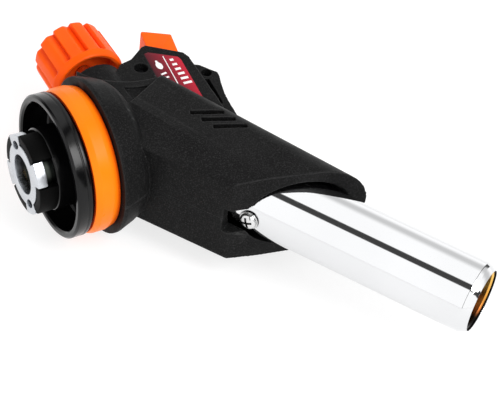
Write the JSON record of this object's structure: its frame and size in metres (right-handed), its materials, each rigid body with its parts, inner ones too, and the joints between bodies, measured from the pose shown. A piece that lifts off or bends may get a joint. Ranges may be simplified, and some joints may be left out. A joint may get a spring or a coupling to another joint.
{
  "type": "gas torch head",
  "caption": "Bayonet gas torch head lying on its side: black housing with vented hood, orange knob, ring and trigger, chromed burner tube.",
  "frame": {"origin": "centre of the socket cup's rim, on the can axis, inside the hub's length", "axes": "+X along the can axis from the can into the body, +Y the way the gas knob points, +Z out of the label side; the burner leans towards -Y"},
  "size_m": [0.1076, 0.1484, 0.0484],
  "materials": {
    "black_plastic": "fine-grained matte",
    "orange_plastic": "satin moulded",
    "ring_orange": "smooth moulded",
    "label_red": "printed foil",
    "chrome": "polished",
    "brass": "turned",
    "die_cast": "bright die-cast",
    "steel": "zinc-plated",
    "rubber": "moulded",
    "ceramic": "glazed",
    "wire_cover": "extruded"
  },
  "bodies": {
    "torch_body": {"socket_cup": "black_plastic", "bayonet_insert": "die_cast", "trim_ring": "ring_orange", "inlet_pin": "brass", "inlet_seal": "rubber", "valve_body": "brass", "gland_nut": "brass", "spindle_seal": "rubber", "gas_pipe": "brass", "jet_nozzle": "brass", "mixing_tube": "brass", "burner_collar": "die_cast", "burner_tube": "chrome", "flame_tube": "brass", "flame_holder": "brass", "tube_screw": "steel", "igniter_body": "black_plastic", "return_spring": "steel", "ignition_lead": "wire_cover", "electrode_insulator": "ceramic", "electrode": "steel", "housing_upper": "black_plastic", "housing_lower": "black_plastic", "label_plate": "label_red", "housing_screws": "steel"},
    "trigger": {"trigger": "orange_plastic", "igniter_plunger": "black_plastic"},
    "spindle": {"needle_spindle": "brass"},
    "knob": {"control_knob": "orange_plastic", "knob_screw": "steel"}
  },
  "joints": [
    {"name": "trigger_press", "type": "slide", "parent": "torch_body", "child": "trigger", "axis": [-0.2, -0.9798, 0], "range_m": [0, 0.005], "stiffness_N_per_m": 400, "springref_m": -0.002, "deforming": ["return_spring"]},
    {"name": "spindle_rise", "type": "slide", "parent": "torch_body", "child": "spindle", "axis": [0, 1, 0], "range_m": [0, 0.00105]},
    {"name": "knob_turn", "type": "hinge", "parent": "spindle", "child": "knob", "pos_m": [0.0279, 0.038, 0], "axis": [0, 1, 0], "range_deg": [0, 540]}
  ],
  "couplings": [
    {"joint": "knob_turn", "follows": "spindle_rise", "rad_per_m": 8975.9}
  ]
}
